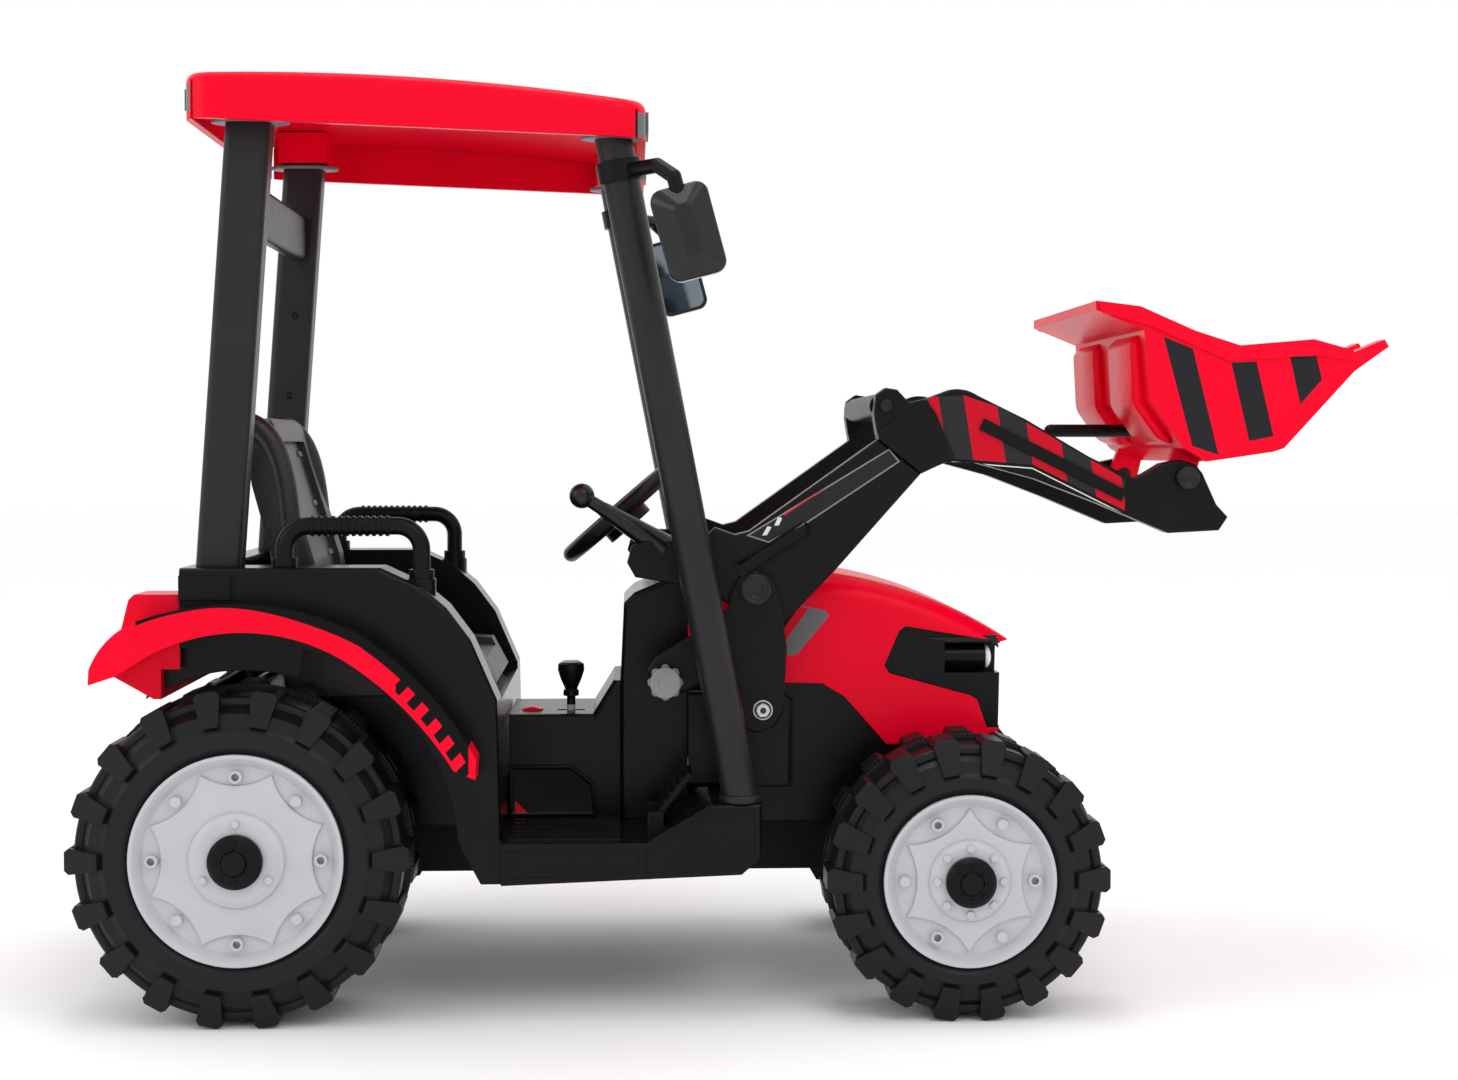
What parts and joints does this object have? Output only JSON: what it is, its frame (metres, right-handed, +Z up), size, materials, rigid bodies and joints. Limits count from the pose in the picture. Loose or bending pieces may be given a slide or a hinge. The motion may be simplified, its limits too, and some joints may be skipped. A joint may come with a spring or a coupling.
{
  "type": "ride-on toy tractor",
  "caption": "Child's ride-on tractor with a roof on posts, lugged wheels, a seat with armrests, steering that turns the front wheels and a hand-worked front loader with a toothed bucket.",
  "frame": {"origin": "on the ground, in the middle of the outer box's footprint", "axes": "+X forward to the bucket, +Y to the rider's left, +Z up"},
  "size_m": [1.4422, 0.656, 1.0274],
  "materials": {
    "red_plastic": "moulded, soft gloss",
    "black_plastic": "fine grain, satin",
    "gloss_black": "polished",
    "mirror_silver": "polished",
    "tread_black": "moulded, satin",
    "wheel_grey": "moulded, satin",
    "grey_plastic": "moulded, satin",
    "lamp_lens": "clear, frosted behind",
    "seat_vinyl": "leather grain",
    "battery_case": "plain",
    "zinc_steel": "zinc plated"
  },
  "bodies": {
    "tractor": {"chassis_frame": "black_plastic", "battery": "battery_case", "rear_axle": "zinc_steel", "rear_gearboxes": "black_plastic", "front_axle_beam": "black_plastic", "rear_body": "black_plastic", "fender_right": "red_plastic", "fender_left": "red_plastic", "tail_panel": "red_plastic", "floor_pan": "black_plastic", "dash_tower": "black_plastic", "front_body": "black_plastic", "hood": "red_plastic", "grille": "black_plastic", "headlamp_lenses": "lamp_lens", "seat": "seat_vinyl", "armrests": "black_plastic", "rear_posts": "black_plastic", "rear_crossbar": "black_plastic", "front_post_right": "black_plastic", "front_post_left": "black_plastic", "roof": "red_plastic", "roof_lamps": "grey_plastic", "mirror_arms": "black_plastic", "loader_towers": "black_plastic", "loader_bolts": "zinc_steel", "clamp_knobs": "grey_plastic"},
    "steering": {"steering_wheel": "black_plastic", "steering_column": "zinc_steel"},
    "tie_rod": {"tie_rod": "zinc_steel"},
    "gear_lever": {"gear_lever": "black_plastic"},
    "power_switch": {"power_switch": "red_plastic"},
    "accelerator_pedal": {"accelerator_pedal": "black_plastic"},
    "loader": {"loader_arm_right": "black_plastic", "loader_arm_left": "black_plastic", "loader_forearm_right": "black_plastic", "loader_forearm_left": "black_plastic", "loader_crossbeam": "black_plastic", "lift_lever": "black_plastic", "bucket_pins": "zinc_steel"},
    "bucket": {"bucket": "red_plastic", "bucket_handle": "black_plastic"},
    "rear_wheel_right": {"rear_tyre_right": "tread_black", "rear_rim_right": "wheel_grey", "rear_hubcap_right": "black_plastic"},
    "knuckle_right": {"knuckle_right": "black_plastic"},
    "front_wheel_right": {"front_tyre_right": "tread_black", "front_rim_right": "wheel_grey", "front_hubcap_right": "black_plastic"},
    "mirror_right": {"mirror_right": "gloss_black", "mirror_glass_right": "mirror_silver"},
    "rear_wheel_left": {"rear_tyre_left": "tread_black", "rear_rim_left": "wheel_grey", "rear_hubcap_left": "black_plastic"},
    "knuckle_left": {"knuckle_left": "black_plastic"},
    "front_wheel_left": {"front_tyre_left": "tread_black", "front_rim_left": "wheel_grey", "front_hubcap_left": "black_plastic"},
    "mirror_left": {"mirror_left": "gloss_black", "mirror_glass_left": "mirror_silver"}
  },
  "joints": [
    {"name": "steering_turn", "type": "hinge", "parent": "tractor", "child": "steering", "pos_m": [-0.137, 0, 0.541], "axis": [-0.6561, 0, 0.7547], "range_deg": [-40, 40]},
    {"name": "rear_wheel_right_spin", "type": "hinge", "parent": "tractor", "child": "rear_wheel_right", "pos_m": [-0.54, -0.22, 0.181], "axis": [0, 1, 0], "continuous": true},
    {"name": "knuckle_right_turn", "type": "hinge", "parent": "tractor", "child": "knuckle_right", "pos_m": [0.24, -0.142, 0.153], "axis": [0, 0, 1], "range_deg": [-16, 16]},
    {"name": "front_wheel_right_spin", "type": "hinge", "parent": "knuckle_right", "child": "front_wheel_right", "pos_m": [0.24, -0.2325, 0.153], "axis": [0, 1, 0], "continuous": true},
    {"name": "mirror_right_turn", "type": "hinge", "parent": "tractor", "child": "mirror_right", "pos_m": [-0.062, -0.31, 0.843], "axis": [-0.2588, 0, 0.9659], "range_deg": [-60, 60]},
    {"name": "rear_wheel_left_spin", "type": "hinge", "parent": "tractor", "child": "rear_wheel_left", "pos_m": [-0.54, 0.22, 0.181], "axis": [0, 1, 0], "continuous": true},
    {"name": "knuckle_left_turn", "type": "hinge", "parent": "tractor", "child": "knuckle_left", "pos_m": [0.24, 0.142, 0.153], "axis": [0, 0, 1], "range_deg": [-16, 16]},
    {"name": "front_wheel_left_spin", "type": "hinge", "parent": "knuckle_left", "child": "front_wheel_left", "pos_m": [0.24, 0.2325, 0.153], "axis": [0, 1, 0], "continuous": true},
    {"name": "mirror_left_turn", "type": "hinge", "parent": "tractor", "child": "mirror_left", "pos_m": [-0.062, 0.31, 0.843], "axis": [-0.2588, 0, 0.9659], "range_deg": [-60, 60]},
    {"name": "tie_rod_slide", "type": "slide", "parent": "tractor", "child": "tie_rod", "axis": [0, 1, 0], "range_m": [-0.0138, 0.0138]},
    {"name": "loader_lift", "type": "hinge", "parent": "tractor", "child": "loader", "pos_m": [0.015, 0, 0.461], "axis": [0, -1, 0], "range_deg": [-40, 8]},
    {"name": "bucket_tip", "type": "hinge", "parent": "loader", "child": "bucket", "pos_m": [0.498, 0, 0.584], "axis": [0, 1, 0], "range_deg": [0, 60]},
    {"name": "gear_lever_tilt", "type": "hinge", "parent": "tractor", "child": "gear_lever", "pos_m": [-0.193, -0.04, 0.3], "axis": [0, 1, 0], "range_deg": [-12, 12]},
    {"name": "power_switch_rock", "type": "hinge", "parent": "tractor", "child": "power_switch", "pos_m": [-0.238, -0.04, 0.309], "axis": [0, 1, 0], "range_deg": [-8, 8]},
    {"name": "accelerator_press", "type": "hinge", "parent": "tractor", "child": "accelerator_pedal", "pos_m": [-0.096, -0.178, 0.21], "axis": [0, 1, 0], "range_deg": [0, 12], "stiffness_Nm_per_rad": 1, "springref_deg": -5.73}
  ],
  "couplings": [
    {"joint": "knuckle_right_turn", "follows": "steering_turn", "ratio": 0.4},
    {"joint": "knuckle_left_turn", "follows": "steering_turn", "ratio": 0.4},
    {"joint": "tie_rod_slide", "follows": "steering_turn", "m_per_rad": -0.0192}
  ]
}
